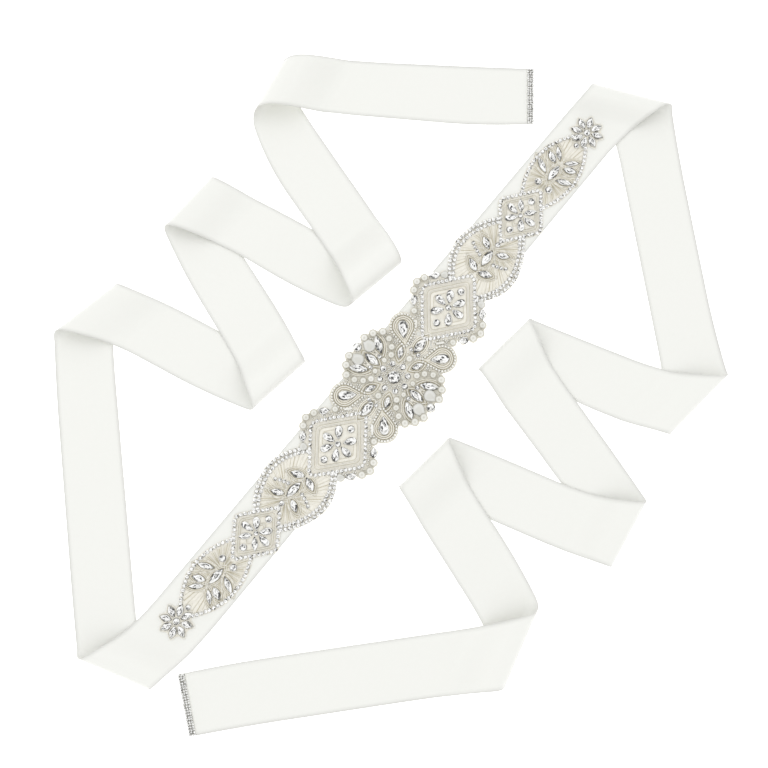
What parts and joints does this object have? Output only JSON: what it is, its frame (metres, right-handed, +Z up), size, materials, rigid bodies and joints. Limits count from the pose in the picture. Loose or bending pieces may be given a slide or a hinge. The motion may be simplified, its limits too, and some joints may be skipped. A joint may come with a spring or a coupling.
{
  "type": "bridal sash",
  "caption": "Bridal sash: a long satin ribbon laid out in a zigzag of soft folds, with a crystal and pearl beaded applique along its middle and rhinestone end trims.",
  "frame": {"origin": "middle of the rectangle the sash covers, on the surface it lies on", "axes": "+Z up from the surface; the applique runs from low X, low Y to high X, high Y; +Y away from the viewer, +X to the viewer's right"},
  "size_m": [0.4238, 0.4265, 0.019],
  "materials": {
    "satin": "ivory double-faced satin, soft sheen",
    "beadwork": "warm beige sheer ground, close-set clear crystals, pearls, milky opal stones and silver-lined beads",
    "rhinestones": "two rows of clear foil-backed rhinestones in silver cups"
  },
  "bodies": {
    "root": {"ribbon_middle": "satin", "ribbon_right_1": "satin", "ribbon_right_2": "satin", "ribbon_right_3": "satin", "ribbon_right_4": "satin", "ribbon_right_5": "satin", "ribbon_right_6": "satin", "ribbon_left_1": "satin", "ribbon_left_2": "satin", "ribbon_left_3": "satin", "ribbon_left_4": "satin", "ribbon_left_5": "satin", "ribbon_left_6": "satin", "medallion": "beadwork", "diamond_right": "beadwork", "oval_right": "beadwork", "small_diamond_right": "beadwork", "end_oval_right": "beadwork", "tip_flower_right": "beadwork", "diamond_left": "beadwork", "oval_left": "beadwork", "small_diamond_left": "beadwork", "end_oval_left": "beadwork", "tip_flower_left": "beadwork", "end_trim_right": "rhinestones", "end_trim_left": "rhinestones"}
  },
  "joints": []
}
